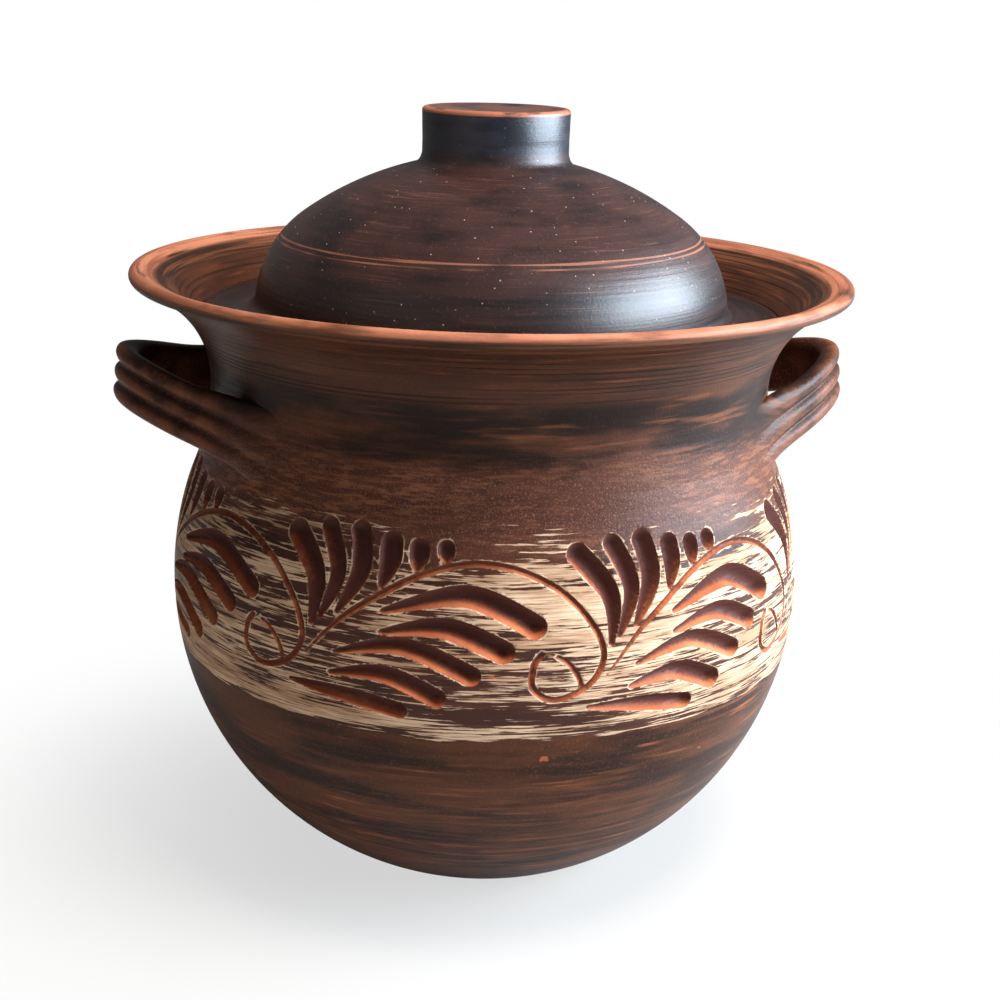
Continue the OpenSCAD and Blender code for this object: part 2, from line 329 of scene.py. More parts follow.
mesh = carved_band.data
count = len(mesh.vertices)
place = np.empty(count * 3)
mesh.vertices.foreach_get("co", place)
place = place.reshape(-1, 3)
radius = np.hypot(place[:, 0], place[:, 1])
skin = np.array([on_skin(BAND_LOW + (BAND_HIGH - BAND_LOW) * i / 400) for i in range(401)])
outer = radius > np.interp(place[:, 2], skin[:, 1], skin[:, 0]) - 0.5 * MM
FAR_OFF = 6 * MM  # distance to a rim that is stored where no stroke is near
rim = np.full(count, FAR_OFF)
sunk = np.zeros(count)
leafy = np.zeros(count)
upper = np.zeros(count)
CELL = (BAND_HIGH - BAND_LOW) / BAND_ROWS
start = place.copy()
for stroke in strokes:
    margin = FAR_OFF + 1 * MM
    low, high = stroke["points"].min(axis=0) - margin, stroke["points"].max(axis=0) + margin
    near = np.nonzero(outer & np.all((start > low) & (start < high), axis=1))[0]
    far, half, deep, away = nearest(start[near], stroke)
    gap = far - half
    closer = gap < rim[near]
    near, far, half, deep, away, gap = (v[closer] for v in (near, far, half, deep, away, gap))
    slide = np.where((np.abs(gap) < 0.45 * CELL) & (far > 1e-6), -gap, 0.0)
    place[near] = start[near] + away / np.maximum(far, 1e-9)[:, None] * slide[:, None]
    share = np.clip((far + slide) / half, 0, 1)
    rim[near] = gap + slide
    sunk[near] = deep * (1 - share ** stroke["power"])
    leafy[near] = stroke["leaf"]
    # how high the point lies across its stroke, which the colour uses to paint shade on the upper wall
    upper[near] = np.clip(away[:, 2] / half, -1, 1)

axis_point = np.stack([np.zeros(count), np.zeros(count), np.full(count, BELLY_Z)], axis=1)
out = place - axis_point
out /= np.linalg.norm(out, axis=1)[:, None]
place -= out * sunk[:, None]
mesh.vertices.foreach_set("co", place.ravel())
mesh.update()
for name, values in (("rim_mm", rim / MM), ("sunk_mm", sunk / MM), ("leaf", leafy), ("upper", upper)):
    mesh.attributes.new(name, "FLOAT", "POINT").data.foreach_set("value", values)
mesh.set_sharp_from_angle(angle=math.radians(38))
print("deepest cut", round(sunk.max() / MM, 2), "mm")

# %% [markdown]
# ## The handles
#
# Each handle is a strap of clay pulled with wet fingers, which leave two
# grooves between three ribs, and bent into a loop that climbs away from the
# neck. A curve with a bevel could make it, but the strap's ends were smeared
# onto the neck. So the strap's section is extruded from station to station,
# and where a station runs into the neck its points settle onto the skin.

# %% The strap's path and section
HANDLE_OUT, LOOP_HALF, LOOP_BEND = 32.2 * MM, 51 * MM, 1.0
HANDLE_DROP, RIGHT_SINK, HANDLE_RISE = 12.4 * MM, 2 * MM, math.radians(19)
ROOT_X = math.sqrt(NECK_R**2 - LOOP_HALF**2)
LOOP_DEPTH = NECK_R + HANDLE_OUT - ROOT_X
SECTION = [
    (-1.3, -9.3), (-0.5, -8.3), (0, -6.7), (-0.3, -5.2), (-1.3, -4.0), (-1.75, -3.35),
    (-1.3, -2.7), (-0.3, -1.6), (0, 0), (-0.3, 1.6), (-1.3, 2.7), (-1.75, 3.35),
    (-1.3, 4.0), (-0.3, 5.2), (0, 6.7), (-0.5, 8.3), (-1.3, 9.3), (-2.9, 9.9), (-5, 9.7),
    (-6.7, 8.9), (-7.4, 6.5), (-7.5, 0), (-7.4, -6.5), (-6.7, -8.9), (-5, -9.7), (-2.9, -9.9),
]


def loop_point(u):
    """Plan of the loop's outer face, u from -1 at one root to 1 at the other."""
    fall = (math.hypot(1, LOOP_BEND * u) - 1) / (math.hypot(1, LOOP_BEND) - 1)
    return Vector((ROOT_X + LOOP_DEPTH * (1 - fall), LOOP_HALF * u, 0))


def neck_radius(z):
    """Outer radius of the pot's neck at a height."""
    if z > NECK_Z:
        return FLARE_X - math.sqrt(max(FLARE_R**2 - (z - NECK_Z) ** 2, 0))
    if z > NECK_Z - NECK_CURVE * math.sin(JOIN):
        return NECK_X - math.sqrt(NECK_CURVE**2 - (z - NECK_Z) ** 2)
    return math.sqrt(BELLY_R**2 - (z - BELLY_Z) ** 2)


def eased(value, low, high):
    """0 below low, 1 above high, with a soft start and end."""
    t = min(1.0, max(0.0, (value - low) / (high - low)))
    return t * t * (3 - 2 * t)


# %% Stations of the strap, the last ones settled on the neck
LAST_U = 1.18  # where the strap ends; its outer face reaches the neck at 1
THICK = 7.5  # of the strap, in mm
STEPS = 27  # stations on each side of the middle


def station(u, sink):
    """Ring of points at u; near the roots the grooves fade and the clay spreads onto the neck."""
    along = (loop_point(u + 0.001) - loop_point(u - 0.001)).normalized()
    outward = Vector((along.y, -along.x, 0))
    root = eased(abs(u), 0.62, LAST_U)
    middle = max(0.0, 1 - u * u)
    ring = []
    for out, high in SECTION:
        flat = out * (1 - 0.9 * root) - 2.4 * root * (high / 10) ** 2 if out > -2 else out
        q = loop_point(u) + outward * (flat - (0.1 * high + 1.0) * middle) * MM
        climb = (q.x - ROOT_X) * math.tan(HANDLE_RISE) * (1 if q.x > ROOT_X else 0.5)
        spread = 1 + (0.65 if high > 0 else 0.1) * root
        z = NECK_Z - HANDLE_DROP - sink + climb + high * spread * MM
        r = math.hypot(q.x, q.y)
        skin = neck_radius(z)
        clear = (r - skin) / MM
        soft = 1 + 4.5 * (out + THICK) / THICK
        settled = 0.5 * (clear + math.hypot(clear, soft)) - 0.9 - 0.35 * root
        share = eased(abs(u), 0.55, 0.8)
        grown = (skin + ((1 - share) * clear + share * settled) * MM) / r
        ring.append(Vector((q.x * grown, q.y * grown, z)))
    return ring


def stations(sink):
    return [station(LAST_U * (i / STEPS - 1), sink) for i in range(2 * STEPS + 1)]


def strap(name, rings, flip):
    """A handle: the section extruded from station to station."""
    bm = bmesh.new()
    ring = [bm.verts.new(q) for q in rings[0]]
    edges = [bm.edges.new((a, b)) for a, b in zip(ring, ring[1:] + ring[:1])]
    bm.faces.new(ring)
    for new_ring in rings[1:]:
        grown = bmesh.ops.extrude_edge_only(bm, edges=edges)["geom"]
        new = [v for v in grown if isinstance(v, bmesh.types.BMVert)]
        edges = [e for e in grown if isinstance(e, bmesh.types.BMEdge) and all(v in new for v in e.verts)]
        for v, q in zip(new, new_ring):
            v.co = q
    bmesh.ops.contextual_create(bm, geom=edges)
    if flip:
        bmesh.ops.scale(bm, vec=(-1, 1, 1), verts=bm.verts)
    bmesh.ops.recalc_face_normals(bm, faces=bm.faces)
    obj = finished(name, bm, 180)
    smooth = obj.modifiers.new("smooth", "SUBSURF")
    smooth.levels = smooth.render_levels = 2
    return obj


right_handle = strap("right_handle", stations(RIGHT_SINK), False)
left_handle = strap("left_handle", stations(0), True)
print("strap", len(right_handle.data.polygons), "faces before smoothing")

# %% [markdown]
# ## The lid
#
# The lid is turned as well: a dome on a flat brim, with a button knob that
# was thrown on top. Small hollow curves lie where dome meets brim and knob
# meets dome, because a potter's finger runs there.

# %% Turn the lid
BRIM_T, DOME_R, DOME_H, SHOULDER_R, LID_WALL = 5 * MM, 79.5 * MM, 51.2 * MM, 38 * MM, 6.5 * MM
FILLET, KNOB_R, KNOB_H, KNOB_ROUND = 4.5 * MM, 24.5 * MM, 15 * MM, 1.4 * MM
LID_GAP = 0.5 * MM
BRIM_Z = SEAT_Z + BRIM_T
ARCH_X = DOME_R - SHOULDER_R
CROWN_R = (ARCH_X**2 + DOME_H**2 - SHOULDER_R**2) / (2 * (DOME_H - SHOULDER_R))
CROWN_Z = BRIM_Z + DOME_H - CROWN_R
CROWN_A = math.atan2(BRIM_Z - CROWN_Z, ARCH_X)
TOP_Z = BRIM_Z + DOME_H + KNOB_H


def mouth_x(z):
    """Inner radius of the bell mouth at a height, less the lid's gap."""
    return FLARE_X - math.sqrt((MOUTH_R + LID_GAP) ** 2 - (z - NECK_Z) ** 2)


fillet_x = ARCH_X + math.sqrt((SHOULDER_R + FILLET) ** 2 - FILLET**2)
fillet_a = math.asin(FILLET / (SHOULDER_R + FILLET))
knob_foot = CROWN_Z + math.sqrt(CROWN_R**2 - (KNOB_R + 2 * MM) ** 2)

lid_line = [(0, CROWN_Z + CROWN_R - LID_WALL)]
lid_line += arc((0, CROWN_Z), CROWN_R - LID_WALL, HALF / 2, CROWN_A, 12)
lid_line += arc((ARCH_X, BRIM_Z), SHOULDER_R - LID_WALL, CROWN_A, 0, 10)
lid_line += [(DOME_R - LID_WALL, SEAT_Z), (mouth_x(SEAT_Z) - 0.4 * MM, SEAT_Z)]
lid_line += [(mouth_x(SEAT_Z + 0.5 * MM), SEAT_Z + 0.5 * MM)]
lid_line += [(mouth_x(SEAT_Z + f * BRIM_T), SEAT_Z + f * BRIM_T) for f in (0.4, 0.7, 0.88)]
lid_line += [(mouth_x(BRIM_Z) - 0.5 * MM, BRIM_Z - 0.12 * MM), (mouth_x(BRIM_Z) - 1.2 * MM, BRIM_Z)]
lid_line += arc((fillet_x, BRIM_Z + FILLET), FILLET, 1.5 * HALF, HALF + fillet_a, 8)
lid_line += arc((ARCH_X, BRIM_Z), SHOULDER_R, fillet_a, CROWN_A, 20)
crown_end = math.acos((KNOB_R + 2 * MM) / CROWN_R)
lid_line += arc((0, CROWN_Z), CROWN_R, CROWN_A, crown_end, 24)
lid_line += [(KNOB_R + 1.0 * MM, knob_foot + 0.75 * MM), (KNOB_R + 0.35 * MM, knob_foot + 1.7 * MM)]
lid_line += [(KNOB_R - 0.2 * MM, knob_foot + 3.4 * MM), (KNOB_R - 0.25 * MM, knob_foot + 8 * MM)]
lid_line += arc((KNOB_R - KNOB_ROUND, TOP_Z - KNOB_ROUND), KNOB_ROUND, 0, HALF / 2, 6)
lid_line += [(KNOB_R - 3 * MM, TOP_Z - 0.1 * MM), (KNOB_R - 8 * MM, TOP_Z - 0.5 * MM)]
lid_line += [(0, TOP_Z - 0.9 * MM)]
turned_lid = turned("turned_lid", lid_line, 256)
print("lid", len(turned_lid.data.polygons), "faces, top at", round(TOP_Z / MM, 1), "mm")

# %% [markdown]
# ## Fired clay
#
# The pot was coated with dark slip while it turned, burnished and fired.
# Where the slip is thin or was scraped, the orange clay shows through in
# streaks that run round the pot. So nearly all colour here is noise that is
# stretched level: it is read in the pot's own round coordinates, the angle,
# the height and the distance from the axis, which follow the wheel.

# %% Helpers for node trees
def colour(r, g, b):
    """A display colour from 0 to 255, as the linear values that a shader takes."""
    linear = [c / 255 / 12.92 if c <= 10 else ((c / 255 + 0.055) / 1.055) ** 2.4 for c in (r, g, b)]
    return (*linear, 1.0)


class Clay:
    """A material and short ways to add nodes to it."""

    def __init__(self, name, roughness, gloss=0.5, lean=0.6):
        """lean tells the streaks which way the wall leans, so that they never run along it."""
        self.lean = lean
        self.material = bpy.data.materials.new(name)
        self.material.use_nodes = True
        self.tree = self.material.node_tree
        self.tree.nodes.clear()
        self.shader = self.add("ShaderNodeBsdfPrincipled")
        self.shader.inputs["Roughness"].default_value = roughness
        self.shader.inputs["Specular IOR Level"].default_value = gloss
        output = self.add("ShaderNodeOutputMaterial")
        self.tree.links.new(self.shader.outputs[0], output.inputs[0])
        self.place = self.add("ShaderNodeTexCoord").outputs["Object"]
        split = self.add("ShaderNodeSeparateXYZ")
        self.link(self.place, split.inputs[0])
        self.x, self.y, self.z = split.outputs
        self.angle = self.sum("ARCTAN2", self.x, self.y)
        square = self.sum("ADD", self.times(self.x, self.x), self.times(self.y, self.y))
        self.radius = self.sum("SQRT", square)

    def add(self, kind):
        return self.tree.nodes.new(kind)

    def link(self, value, socket):
        """Joins an output to a socket, or writes a plain value on it."""
        if isinstance(value, bpy.types.NodeSocket):
            self.tree.links.new(value, socket)
        else:
            socket.default_value = value

    def sum(self, operation, a, b=0.0):
        node = self.add("ShaderNodeMath")
        node.operation = operation
        self.link(a, node.inputs[0])
        self.link(b, node.inputs[1])
        return node.outputs[0]

    def ramp(self, value, low, high):
        """0 below low, 1 above high; low may be the larger one."""
        node = self.add("ShaderNodeMapRange")
        node.interpolation_type = "SMOOTHSTEP"
        self.link(value, node.inputs["Value"])
        flip = low > high
        node.inputs["From Min"].default_value = min(low, high)
        node.inputs["From Max"].default_value = max(low, high)
        node.inputs["To Min"].default_value = 1.0 if flip else 0.0
        node.inputs["To Max"].default_value = 0.0 if flip else 1.0
        return node.outputs[0]

    def between(self, value, rise, fall):
        """Fades in over the first pair of values and out over the second."""
        return self.times(self.ramp(value, *rise), self.ramp(value, *fall))

    def streaks(self, around, height, detail=3.0, seed=0.0, roughness=0.55):
        """Noise stretched round the wheel, its features that long round the pot and that high, in metres."""
        join = self.add("ShaderNodeCombineXYZ")
        scale = 0.1 / around
        self.link(self.sum("MULTIPLY", self.sum("SINE", self.angle), scale), join.inputs[0])
        self.link(self.sum("MULTIPLY", self.sum("COSINE", self.angle), scale), join.inputs[1])
        tall = self.sum("ADD", self.z, self.sum("MULTIPLY", self.radius, self.lean))
        self.link(self.sum("ADD", self.sum("MULTIPLY", tall, 1 / height), seed), join.inputs[2])
        node = self.add("ShaderNodeTexNoise")
        self.link(join.outputs[0], node.inputs["Vector"])
        node.inputs["Scale"].default_value = 1.0
        node.inputs["Detail"].default_value = detail
        node.inputs["Roughness"].default_value = roughness
        return node.outputs["Fac"]

    def grain(self, size, detail=2.0):
        """Even noise with grains of that size, in metres."""
        node = self.add("ShaderNodeTexNoise")
        self.link(self.place, node.inputs["Vector"])
        node.inputs["Scale"].default_value = 1 / size
        node.inputs["Detail"].default_value = detail
        return node.outputs["Fac"]

    def specks(self, size, share, low=0.08, high=0.17):
        """Small round spots on that share of the cells."""
        node = self.add("ShaderNodeTexVoronoi")
        self.link(self.place, node.inputs["Vector"])
        node.inputs["Scale"].default_value = 1 / size
        near = self.ramp(node.outputs["Distance"], high, low)
        pick = self.add("ShaderNodeSeparateColor")
        self.link(node.outputs["Color"], pick.inputs[0])
        return self.sum("MULTIPLY", near, self.ramp(pick.outputs[0], 1 - share, 1 - share + 0.01))

    def spot(self, azimuth, height, size):
        """1 near one place on the belly, with a ragged edge."""
        angle = math.radians(azimuth)
        r, z = on_skin(height * MM - BELLY_Z)
        node = self.add("ShaderNodeVectorMath")
        node.operation = "DISTANCE"
        self.link(self.place, node.inputs[0])
        node.inputs[1].default_value = (r * math.sin(angle), -r * math.cos(angle), z)
        frayed = self.times(self.grain(0.0022, 3), 2.6 * size)
        ragged = self.sum("ADD", node.outputs["Value"], frayed)
        return self.ramp(ragged, 2.2 * size, 1.9 * size)

    def mix(self, share, a, b):
        node = self.add("ShaderNodeMix")
        node.data_type = "RGBA"
        self.link(share, node.inputs[0])
        self.link(a, node.inputs[6])
        self.link(b, node.inputs[7])
        return node.outputs[2]

    def attribute(self, name):
        node = self.add("ShaderNodeAttribute")
        node.attribute_name = name
        return node.outputs["Fac"]

    def times(self, *values):
        out = values[0]
        for value in values[1:]:
            out = self.sum("MULTIPLY", out, value)
        return out

    def bump(self, height, distance, strength):
        node = self.add("ShaderNodeBump")
        node.inputs["Strength"].default_value = strength
        node.inputs["Distance"].default_value = distance
        self.link(height, node.inputs["Height"])
        return node.outputs[0]


# %% [markdown]
# ## The pot's slip
#
# From the foot up: brown slip with soft throwing streaks, a band round the
# belly that was scraped pale with a rib before carving, a speckled zone
# above it, a near-black waist, fine turning lines under the mouth, and a lip
# of bare orange clay. One picture could hold all that, but it would need
# unwrapping and blur close up. So the layers are mixed over each other, each
# with a mask for where it lies and a noise for its marks.

# %% The coat of slip
DARK, BROWN, UMBER = colour(40, 22, 14), colour(80, 45, 27), colour(114, 66, 40)
ORANGE, TAN, CREAM = colour(158, 88, 54), colour(170, 132, 102), colour(222, 190, 158)
PLUM = colour(80, 47, 39)


def slip_coat(m):
    """Brown slip with throwing streaks. Its noises stay on m, because later layers share them."""
    m.broad = m.streaks(0.05, 0.010, 3, 3.1)
    m.wide = m.streaks(0.08, 0.03, 2, 6.6)
    m.fine = m.streaks(0.03, 0.0022, 4, 8.7)
    m.hair = m.streaks(0.014, 0.0006, 5, 1.3, 0.62)
    m.dust = m.grain(0.0009, 2)
    blotch = m.grain(0.02, 4)
    base = m.mix(m.ramp(m.broad, 0.36, 0.64), DARK, BROWN)
    base = m.mix(m.times(m.ramp(m.fine, 0.46, 0.7), m.ramp(m.wide, 0.36, 0.6), 0.8), base, UMBER)
    base = m.mix(m.times(m.ramp(m.fine, 0.58, 0.74), m.ramp(blotch, 0.46, 0.62), 0.7), base, ORANGE)
    return m.mix(m.times(m.ramp(m.dust, 0.56, 0.7), 0.3), base, UMBER)


print("brown slip in linear light:", [round(c, 4) for c in BROWN])

# %% The zones above the carving
# heights in metres over which each zone fades in, and over which it fades out
SPECKLED = (0.132, 0.141), (0.172, 0.156)
WAIST = (0.152, 0.166), (0.187, 0.177)
TURNED = (0.1785, 0.182), (0.2015, 0.199)
TURNING_STEP = 1.7 * MM


def upper_zones(m, base):
    """Speckled zone, dark smooth waist and fine turning lines under the mouth."""
    zone = m.between(m.z, *SPECKLED)
    base = m.mix(m.times(zone, 0.55), base, PLUM)
    wiped = m.ramp(m.streaks(0.009, 0.0011, 5, 5.0, 0.68), 0.46, 0.62)
    base = m.mix(m.times(wiped, zone, m.ramp(m.wide, 0.3, 0.6), 0.65), base, colour(150, 94, 64))
    base = m.mix(m.times(m.ramp(m.grain(0.0005, 2), 0.5, 0.74), zone, 0.55), base, colour(150, 98, 74))

    waist = m.between(m.z, *WAIST)
    base = m.mix(m.times(waist, m.ramp(m.broad, 0.7, 0.42), 0.82), base, colour(24, 13, 10))
    rubbed = m.times(m.ramp(m.fine, 0.52, 0.68), m.ramp(m.wide, 0.42, 0.62), waist)
    base = m.mix(m.times(rubbed, 0.55), base, UMBER)

    under = m.between(m.z, *TURNED)
    wander = m.times(m.streaks(0.2, 0.01, 2, 7.0), 9.0)
    comb = m.sum("SINE", m.sum("ADD", m.times(m.z, 2 * math.pi / TURNING_STEP), wander))
    broken = m.ramp(m.streaks(0.09, 0.004, 2, 2.8), 0.4, 0.6)
    m.lines = m.times(under, m.ramp(comb, 0.1, 0.9), broken)
    base = m.mix(m.times(under, 0.5), base, colour(64, 37, 27))
    return m.mix(m.times(m.lines, 0.75), base, DARK)


print("about", round((TURNED[1][1] - TURNED[0][1]) / TURNING_STEP), "turning lines under the mouth")

# %% The scraped band
SCRAPED = (0.0806, 0.0818), (0.149, 0.118)


def scraped_band(m, base):
    """Cream strokes of the rib, slip left between them, thinner towards the top."""
    wave = m.times(m.sum("SUBTRACT", m.streaks(0.04, 0.05, 2, 9.0), 0.5), 0.008)
    m.level = m.sum("ADD", m.z, wave)
    band = m.between(m.level, *SCRAPED)
    mask = m.sum("ADD", m.times(m.hair, 0.55), m.times(m.fine, 0.45))
    mask = m.sum("ADD", mask, m.times(m.sum("SUBTRACT", m.wide, 0.5), 0.3))
    long = m.sum("SUBTRACT", m.streaks(0.09, 0.0016, 3, 14.0), 0.5)
    m.mask = m.sum("ADD", mask, m.times(m.ramp(m.level, 0.091, 0.084), long, 0.55))
    cover = m.sum("SUBTRACT", 0.58, m.times(band, 0.1))
    scraped = m.ramp(m.sum("SUBTRACT", m.mask, cover), -0.006, 0.02)
    m.pale = m.times(m.ramp(band, 0.02, 0.1), scraped)
    slip = m.mix(m.ramp(m.fine, 0.4, 0.6), colour(62, 36, 28), PLUM)
    base = m.mix(m.times(band, 0.8), base, slip)
    tone = m.sum("ADD", m.times(m.broad, 0.4), m.times(m.hair, 0.6))
    base = m.mix(m.times(m.pale, 0.88), base, m.mix(m.ramp(tone, 0.44, 0.62), TAN, CREAM))
    m.rough = m.sum("ADD", 0.42, m.times(m.pale, 0.3))
    return base


print("scraped from", round(SCRAPED[0][1] / MM, 1), "mm up, thinning out to", round(SCRAPED[1][0] / MM, 1))

# %% Chips in the slip and the mouth
# places where the slip has come off: azimuth, height and size
CHIPS = [
    (-9.5, 102, 1.3 * MM), (-0.5, 74, 1.5 * MM), (31, 66, 1.0 * MM), (118, 83, 1.4 * MM), (196, 60, 1.5 * MM),
]


def chips(m, base):
    """Small ragged spots of orange clay."""
    for place in CHIPS:
        base = m.mix(m.times(m.spot(*place), 0.85), base, ORANGE)
    return base


def mouth(m, base):
    """Streaks inside the mouth and bare orange clay on the lip."""
    inner = m.ramp(m.z, 0.1985, 0.2015)
    swirl = m.streaks(0.06, 0.0018, 5, 2.2)
    streak = m.mix(m.ramp(swirl, 0.42, 0.66), colour(42, 26, 19), colour(108, 66, 45))
    base = m.mix(m.times(inner, 0.85), base, streak)
    lip = m.times(m.ramp(m.z, 0.2032, 0.2046), m.ramp(m.streaks(0.03, 0.003, 3, 6.1), 0.26, 0.5))
    bare = m.mix(m.ramp(swirl, 0.36, 0.62), colour(126, 76, 55), colour(178, 114, 88))
    return m.mix(m.times(lip, 0.9), base, bare)


print(len(CHIPS), "chips")

# %% The pot's material
def pot_clay(name, *layers):
    """Slip over orange clay, and over it the layers that only some pieces have."""
    m = Clay(name, 0.5, 0.12)
    base = slip_coat(m)
    for layer in (upper_zones, scraped_band, chips, mouth) + layers:
        base = layer(m, base)
    m.link(base, m.shader.inputs["Base Color"])
    m.link(m.sum("MINIMUM", m.rough, 0.9), m.shader.inputs["Roughness"])
    height = m.sum("SUBTRACT", m.times(m.streaks(0.5, 0.0036, 2, 0.0), 0.4), m.times(m.lines, 0.35))
    height = m.sum("ADD", height, m.times(m.pale, m.sum("SUBTRACT", 0.6, m.mask), 1.2))
    height = m.sum("ADD", height, m.sum("ADD", m.times(m.dust, 0.16), m.times(m.fine, 0.25)))
    m.link(m.bump(height, 0.0009, 0.55), m.shader.inputs["Normal"])
    return m.material


pot_wall.data.materials.append(pot_clay("slip"))
print("the pot's material has", len(pot_wall.data.materials[0].node_tree.nodes), "nodes")

# %% [markdown]
# ## Colour in the cuts
#
# The gouge went through the slip into the orange clay. In the photograph the
# upper wall of each cut is dark and the lower one bright. Here that dark is
# painted shade, put into the colour of the upper wall and of the deepest part
# of each cut. The colour must follow the strokes exactly, which noise alone
# can't do, so this layer reads what the carving stored on the mesh: the
# distance to the rim, the depth, and how high each point lies across its
# stroke.

# %% The carved band's material
def cuts(m, base):
    """Orange clay in the strokes, with painted shade on the upper wall and in the deepest part, and a thin
    broken pale edge beside them.
    """
    rim, sunk, leaf = m.attribute("rim_mm"), m.attribute("sunk_mm"), m.attribute("leaf")
    ragged = m.sum("ADD", rim, m.times(m.sum("SUBTRACT", m.grain(0.0016, 3), 0.5), 2.2))
    beside = m.times(m.ramp(ragged, 0.36, 0.16), m.ramp(rim, -0.1, 0.03), m.ramp(m.level, 0.08, 0.083))
    beside = m.times(beside, m.ramp(m.grain(0.007, 2), 0.38, 0.6))
    base = m.mix(m.times(beside, 0.65), base, CREAM)
    inside = m.ramp(rim, 0.08, -0.22)
    frayed = m.times(m.sum("SUBTRACT", m.grain(0.0012, 3), 0.5), 0.5)
    high = m.sum("ADD", m.attribute("upper"), frayed)
    swept = m.ramp(m.streaks(0.02, 0.006, 3, 4.4), 0.35, 0.65)
    cut = m.mix(swept, colour(156, 82, 54), colour(186, 106, 70))
    # painted shade: the upper wall of a leaf cut is darkened
    cut = m.mix(m.times(m.ramp(high, -0.75, -0.05), 0.93), cut, colour(72, 41, 37))
    # painted shade: the deepest part of a cut is darkened
    cut = m.mix(m.times(m.ramp(sunk, 1.4, 3.0), 0.5), cut, colour(62, 34, 30))
    stem_cut = m.mix(m.ramp(m.fine, 0.4, 0.6), colour(126, 66, 44), colour(172, 96, 62))
    # painted shade on the upper wall of a stem cut
    stem_cut = m.mix(m.times(m.ramp(high, -0.4, 0.2), 0.75), stem_cut, colour(72, 38, 30))
    m.rough = m.sum("ADD", m.rough, m.times(inside, 0.12))
    return m.mix(inside, base, m.mix(leaf, stem_cut, cut))


carved_band.data.materials.append(pot_clay("carved slip", cuts))
print("the band's material has", len(carved_band.data.materials[0].node_tree.nodes), "nodes")

# %% [markdown]
# ## The handles' clay
#
# The straps carry the same slip, so they share the pot's material and their
# roots match the neck. On the crests of the ribs it is rubbed through to
# orange, and the grooves are coloured darker. The pointiness of the mesh would
# show that, but it is not exported, so each point stores how far it lies out
# on the section.

# %% The handles' material
GROOVE = 1.75  # depth of a groove between two ribs, in mm


def strap_skin(m, base):
    """Slip rubbed through on the crests, on the part of the strap that stands free of the neck."""
    crest, cloud = m.attribute("crest"), m.grain(0.012, 4)
    free = m.ramp(m.radius, 0.097, 0.106)
    skin = m.mix(m.ramp(cloud, 0.36, 0.64), colour(52, 30, 21), colour(84, 49, 33))
    worn = m.times(m.ramp(crest, 0.6, 1.0), m.ramp(cloud, 0.3, 0.62))
    skin = m.mix(m.times(worn, 0.5), skin, colour(132, 80, 56))
    # the grooves between the ribs are coloured darker
    skin = m.mix(m.times(m.ramp(crest, 0.4, 0.05), 0.75), skin, colour(30, 18, 14))
    skin = m.mix(m.times(m.ramp(m.dust, 0.52, 0.68), 0.35), skin, colour(126, 80, 60))
    return m.mix(free, base, skin)


def crest_share(out, high):
    """1 on the crests and the strap's edges, 0 in the grooves."""
    if abs(high) > 9 and out > -5:
        return 0.95
    return max(0.0, 1 + out / GROOVE) if out > -2 else 0.5


strap_material = pot_clay("strap slip", strap_skin)
crests = [crest_share(*point) for point in SECTION]
for handle in (left_handle, right_handle):
    values = [crests[i % len(SECTION)] for i in range(len(handle.data.vertices))]
    handle.data.attributes.new("crest", "FLOAT", "POINT").data.foreach_set("value", values)
    handle.data.materials.append(strap_material)
print("crests round the section:", [round(c, 2) for c in crests])

# %% [markdown]
# ## The lid's clay
#
# The lid is burnished nearly black and has a soft sheen. A few scratches
# from the turning tool run round it, pale specks of sand lie in the surface,
# and the knob's top edge is rubbed to orange. It uses the same kind of level
# streaks as the pot, but lower roughness, because burnishing closes the
# surface. The streaks lean the other way, as the dome does.

# %% The lid's material
LID_RINGS = (0.2177, 0.34), (0.2163, 0.42)  # height in metres of a scratched ring, and how broken it is
KNOB_SIDE, KNOB_TOP, KNOB_EDGE = (0.2435, 0.2455), (0.2566, 0.2572), (0.2565, 0.257)  # fade-in heights


